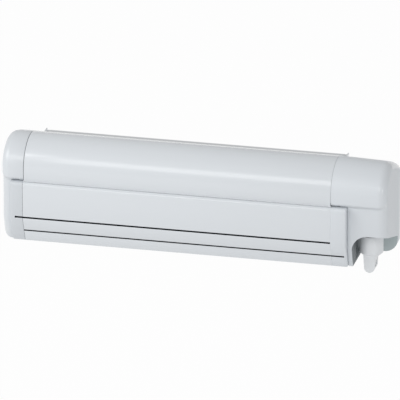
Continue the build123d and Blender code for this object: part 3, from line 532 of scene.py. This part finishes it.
BELL_PAINTED_SHADE = (0.04, 0.045, 0.05)
SHADE_STARTS = 1.5 * MM
SHADE_FULL = 0.5 * MM
faces = end_cap.data.polygons
arch = [face.center for face in faces if is_ceiling(face.center, face.normal)]
arch_top = max(centre.z for centre in arch)
arch_front = min(centre.y for centre in arch)
bell_painted_shadow_line = arch_top - (bell_low.y - arch_front) * math.tan(CAMERA_ELEVATION)
eased["winch_eye"].data.materials[0] = painted_shade_above(
    "bell_plastic",
    BELL_WHITE,
    BELL_PAINTED_SHADE,
    start=bell_painted_shadow_line - SHADE_STARTS,
    end=bell_painted_shadow_line - SHADE_FULL,
    roughness=0.3,
)

# The lead bar's left seam, painted dark as painted shade, and its two grooves, whose walls and
# lips are painted black as painted shade

SEAM_REACH = 0.35 * MM
SEAM_TILT = 0.2
GROOVE_LIP = 0.45 * MM
GROOVE_REACH = 1 * MM
TALLEST_IN_GROOVE = 2 * MM
bar_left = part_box("lead_bar_profile")[0][0]
strips = [
    [Vector(corner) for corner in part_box(name)]
    for name in ("upper_groove_strip", "lower_groove_strip")
]


def on_cap_seam(centre, normal):
    """Eased edge of the left bar cap at the seam."""
    tilted = normal.x > SEAM_TILT and normal.y < -SEAM_TILT
    return centre.x > bar_left - SEAM_REACH and tilted


def on_bar_seam(centre, normal):
    """Eased edge of the lead bar at the seam."""
    tilted = normal.x < -SEAM_TILT and normal.y < -SEAM_TILT
    return centre.x < bar_left + SEAM_REACH and tilted


def in_groove(centre, normal):
    """Walls and eased lips of the two grooves that hold the black strips; these are painted
    black as painted shade.
    """
    for low, high in strips:
        along = low.x - GROOVE_REACH < centre.x < high.x + GROOVE_REACH
        in_front = centre.y < high.y + GROOVE_REACH
        reach = (high.z - low.z) / 2 + GROOVE_LIP
        if along and in_front and abs(centre.z - (low.z + high.z) / 2) < reach:
            return True
    return False


# Painted shade: the eased edges at the left seam of the bar cap and the lead bar take the dark
# joint tone
repaint(eased["left_bar_cap"], left_gasket, on_cap_seam)
repaint(eased["lead_bar_profile"], left_gasket, on_bar_seam)
# Painted shade: the groove walls and lips of the bar and its caps take the black rubber finish
for name in ("lead_bar_profile", "left_bar_cap", "right_bar_cap"):
    repaint(eased[name], materials["black_rubber"], in_groove, TALLEST_IN_GROOVE)

# Awning fabric from the roll to the lead bar


def cloth_ends(low, high):
    """Middles of the cloth's edges, at the roll's underside and at the bead slot."""
    vertices = [vertex.co for vertex in nodes["canopy_fabric"].data.vertices]
    levels = [place.z for place in vertices if place.y < low.y + FRONT_EDGE]
    falls = sum(levels) / len(levels) < (low.z + high.z) / 2
    top, bottom = high.z - FABRIC_THICKNESS, low.z + FABRIC_THICKNESS
    rear_level, front_level = (top, bottom) if falls else (bottom, top)
    return Vector((0.0, high.y, rear_level)), Vector((0.0, low.y, front_level))


def awning_cloth(rear, front, width):
    """The cloth: a thin grid of faces between its two edges."""
    run = front - rear
    bpy.ops.mesh.primitive_grid_add(
        x_subdivisions=CLOTH_COLUMNS, y_subdivisions=CLOTH_ROWS, size=1.0
    )
    piece = bpy.context.object
    piece.name = "awning_cloth"
    piece.scale = (width, run.length, 1.0)
    piece.rotation_euler = (math.atan2(-run.z, -run.y), 0.0, 0.0)
    piece.location = (rear + front) / 2
    settle(piece)
    solidify = piece.modifiers.new("thickness", "SOLIDIFY")
    solidify.thickness = FABRIC_THICKNESS
    solidify.offset = 0.0
    apply_modifiers(piece)
    smooth_by_angle(piece, CLOTH_SMOOTH_ANGLE)
    piece.data.materials.append(materials["awning_fabric"])
    return piece


low, high = (Vector(corner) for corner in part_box("canopy_fabric"))
cloth_back, cloth_front = cloth_ends(low, high)
cloth_piece = awning_cloth(cloth_back, cloth_front, high.x - low.x)
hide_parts("canopy_fabric")
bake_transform(cloth_piece)

# Stage, lights and camera


def stage_material():
    """Pale floor: matt, near white to the camera and in mirrors, and clear from below."""
    finish = Finish("pale_floor", Base_Color=rgb(0.9, 0.9, 0.9), Roughness=0.9)
    tree = finish.tree
    link = tree.links.new
    ray, through, mirrored = (
        finish.node("ShaderNodeLightPath", output=kind)
        for kind in ("Is Camera Ray", "Is Transmission Ray", "Is Glossy Ray")
    )
    seen = (ray + through + mirrored) * FLOOR_GLOW_SEEN + FLOOR_GLOW
    glow = tree.nodes.new("ShaderNodeEmission")
    glow.inputs["Color"].default_value = WHITE
    lit = tree.nodes.new("ShaderNodeMixShader")
    link(seen.output, lit.inputs[0])
    link(finish.shader.outputs[0], lit.inputs[1])
    link(glow.outputs[0], lit.inputs[2])
    behind = finish.node("ShaderNodeNewGeometry", output="Backfacing")
    clear = tree.nodes.new("ShaderNodeBsdfTransparent")
    under = tree.nodes.new("ShaderNodeMixShader")
    link(behind.output, under.inputs[0])
    link(lit.outputs[0], under.inputs[1])
    link(clear.outputs[0], under.inputs[2])
    link(under.outputs[0], tree.nodes["Material Output"].inputs[0])
    return finish.material


def white_sky():
    """Even light from all around, and plain white where the camera sees it."""
    world = bpy.data.worlds.new("studio")
    scene.world = world
    world.use_nodes = True
    tree = world.node_tree
    sky = tree.nodes["Background"]
    sky.inputs["Color"].default_value = WHITE
    sky.inputs["Strength"].default_value = SKY_STRENGTH
    white = tree.nodes.new("ShaderNodeBackground")
    white.inputs["Color"].default_value = WHITE
    white.inputs["Strength"].default_value = 1.0
    path = tree.nodes.new("ShaderNodeLightPath")
    seen = tree.nodes.new("ShaderNodeMixShader")
    tree.links.new(path.outputs["Is Camera Ray"], seen.inputs[0])
    tree.links.new(sky.outputs[0], seen.inputs[1])
    tree.links.new(white.outputs[0], seen.inputs[2])
    tree.links.new(seen.outputs[0], tree.nodes["World Output"].inputs[0])


def soft_light(name, place, width, height, power):
    """A rectangular area light aimed at the awning."""
    bpy.ops.object.light_add(type="AREA", location=place)
    lamp = bpy.context.object
    lamp.name = name
    lamp.data.shape = "RECTANGLE"
    lamp.data.size = width
    lamp.data.size_y = height
    lamp.data.energy = power
    aim = CAMERA_TARGET - Vector(place)
    lamp.rotation_euler = aim.to_track_quat("-Z", "Y").to_euler()


bpy.ops.object.select_all(action="DESELECT")
bpy.ops.mesh.primitive_plane_add(size=FLOOR_SIZE, location=(0.0, 0.0, FLOOR_LEVEL))
floor = bpy.context.object
floor.name = "floor"
floor.data.materials.append(stage_material())
white_sky()
for light in LIGHTS:
    soft_light(*light)

bpy.ops.object.camera_add()
camera = bpy.context.object
away = Vector(
    (
        math.sin(CAMERA_AZIMUTH) * math.cos(CAMERA_ELEVATION),
        -math.cos(CAMERA_AZIMUTH) * math.cos(CAMERA_ELEVATION),
        math.sin(CAMERA_ELEVATION),
    )
)
camera.location = CAMERA_TARGET + away * CAMERA_DISTANCE
camera.rotation_euler = (-away).to_track_quat("-Z", "Y").to_euler()
camera.data.sensor_width = SENSOR_WIDTH
camera.data.lens = SENSOR_WIDTH * CAMERA_DISTANCE / FRAME_WIDTH
camera.data.clip_end = CAMERA_REACH
scene.camera = camera
scene.view_settings.view_transform = "Standard"
